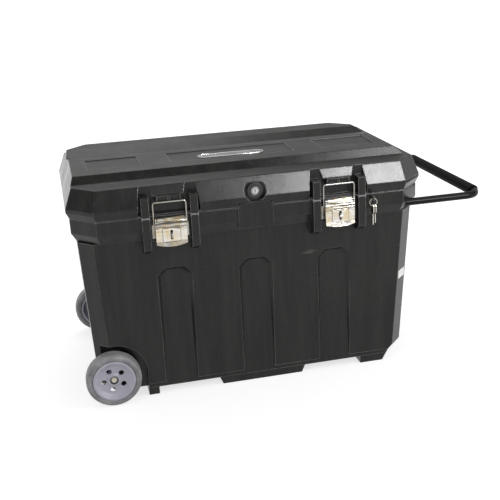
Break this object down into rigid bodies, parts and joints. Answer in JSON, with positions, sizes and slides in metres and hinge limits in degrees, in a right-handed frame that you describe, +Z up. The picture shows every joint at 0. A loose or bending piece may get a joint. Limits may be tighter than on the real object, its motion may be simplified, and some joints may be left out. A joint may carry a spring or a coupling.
{
  "type": "jobsite storage box",
  "caption": "Long lockable tool box with hinged lid, draw latches, lift-out tray, slide-out pull handle and wheels at one end.",
  "frame": {"origin": "on the ground, under the middle of the closed lid's length and width", "axes": "+X along the length to the pull handle's end (wheels at -X), -Y to the front with the latches and the lock, +Y to the hinges, +Z up"},
  "size_m": [1.125, 0.6222, 0.598],
  "materials": {
    "black_plastic": "fine texture",
    "zinc_steel": "zinc plated",
    "dark_steel": "satin",
    "chrome": "polished",
    "key_steel": "nickel plated",
    "rubber": "matt",
    "tyre": "matt",
    "hub_plastic": "satin",
    "cap_plastic": "satin",
    "badge_plastic": "satin",
    "label_paper": "matt"
  },
  "bodies": {
    "tub": {"tub": "black_plastic", "handle_bush_front": "black_plastic", "handle_bush_rear": "black_plastic", "hinge_pin_left": "zinc_steel", "hinge_pin_middle": "zinc_steel", "hinge_pin_right": "zinc_steel", "latch_left_base": "zinc_steel", "latch_right_base": "zinc_steel", "latch_left_rivets": "zinc_steel", "latch_right_rivets": "zinc_steel", "latch_left_pivot_pin": "zinc_steel", "latch_right_pivot_pin": "zinc_steel", "lock_strike": "zinc_steel", "lock_strike_screw": "zinc_steel", "axle": "zinc_steel", "axle_cap_front": "cap_plastic", "axle_cap_rear": "cap_plastic", "axle_spacer_front": "black_plastic", "axle_spacer_rear": "black_plastic", "blank_label": "label_paper"},
    "lid": {"lid": "black_plastic", "lid_seal": "rubber", "badge": "badge_plastic", "lock_bezel": "black_plastic", "lock_barrel": "chrome", "lock_nut": "zinc_steel"},
    "lock": {"lock_plug": "chrome", "lock_cam": "zinc_steel", "lock_cam_screw": "zinc_steel"},
    "keys": {"key_ring": "key_steel", "key_first": "key_steel", "key_second": "key_steel"},
    "handle": {"handle_tube": "dark_steel", "handle_grip": "rubber", "handle_stop_front": "black_plastic", "handle_stop_rear": "black_plastic", "handle_plug_front": "black_plastic", "handle_plug_rear": "black_plastic"},
    "wheel_front": {"wheel_front_hub": "hub_plastic", "wheel_front_tyre": "tyre"},
    "wheel_rear": {"wheel_rear_hub": "hub_plastic", "wheel_rear_tyre": "tyre"},
    "latch_left": {"latch_left_lever": "zinc_steel"},
    "latch_right": {"latch_right_lever": "zinc_steel"},
    "bail_left": {"latch_left_bail": "zinc_steel"},
    "bail_right": {"latch_right_bail": "zinc_steel"},
    "tray": {"tray": "black_plastic"},
    "tray_grip": {"tray_handle": "black_plastic"}
  },
  "joints": [
    {"name": "lid_hinge", "type": "hinge", "parent": "tub", "child": "lid", "pos_m": [0, 0.3, 0.502], "axis": [-1, 0, 0], "range_deg": [0, 100]},
    {"name": "latch_left_lever", "type": "hinge", "parent": "tub", "child": "latch_left", "pos_m": [-0.22, -0.2925, 0.495], "axis": [-1, 0, 0], "range_deg": [0, 150]},
    {"name": "latch_left_bail", "type": "hinge", "parent": "latch_left", "child": "bail_left", "pos_m": [-0.22, -0.291, 0.483], "axis": [-1, 0, 0], "range_deg": [-158, 1]},
    {"name": "latch_right_lever", "type": "hinge", "parent": "tub", "child": "latch_right", "pos_m": [0.22, -0.2925, 0.495], "axis": [-1, 0, 0], "range_deg": [0, 150]},
    {"name": "latch_right_bail", "type": "hinge", "parent": "latch_right", "child": "bail_right", "pos_m": [0.22, -0.291, 0.483], "axis": [-1, 0, 0], "range_deg": [-158, 1]},
    {"name": "lock_turn", "type": "hinge", "parent": "lid", "child": "lock", "pos_m": [0, -0.28, 0.542], "axis": [0, -1, 0], "range_deg": [0, 90]},
    {"name": "key_swing", "type": "hinge", "parent": "tub", "child": "keys", "pos_m": [0.313, -0.294, 0.491], "axis": [-1, 0, 0], "range_deg": [-3, 75]},
    {"name": "handle_slide", "type": "slide", "parent": "tub", "child": "handle", "axis": [1, 0, 0], "range_m": [-0.155, 0]},
    {"name": "wheel_front_spin", "type": "hinge", "parent": "tub", "child": "wheel_front", "pos_m": [-0.394, -0.2595, 0.072], "axis": [0, 1, 0], "continuous": true},
    {"name": "wheel_rear_spin", "type": "hinge", "parent": "tub", "child": "wheel_rear", "pos_m": [-0.394, 0.2595, 0.072], "axis": [0, 1, 0], "continuous": true},
    {"name": "tray_slide", "type": "slide", "parent": "tub", "child": "tray", "axis": [1, 0, 0], "range_m": [0, 0.42]},
    {"name": "tray_handle_turn", "type": "hinge", "parent": "tray", "child": "tray_grip", "pos_m": [-0.186, 0, 0.4633], "axis": [0, -1, 0], "range_deg": [0, 90]}
  ],
  "couplings": [
    {"joint": "latch_left_bail", "follows": "latch_left_lever", "ratio": -1.05},
    {"joint": "latch_right_bail", "follows": "latch_right_lever", "ratio": -1.05}
  ]
}
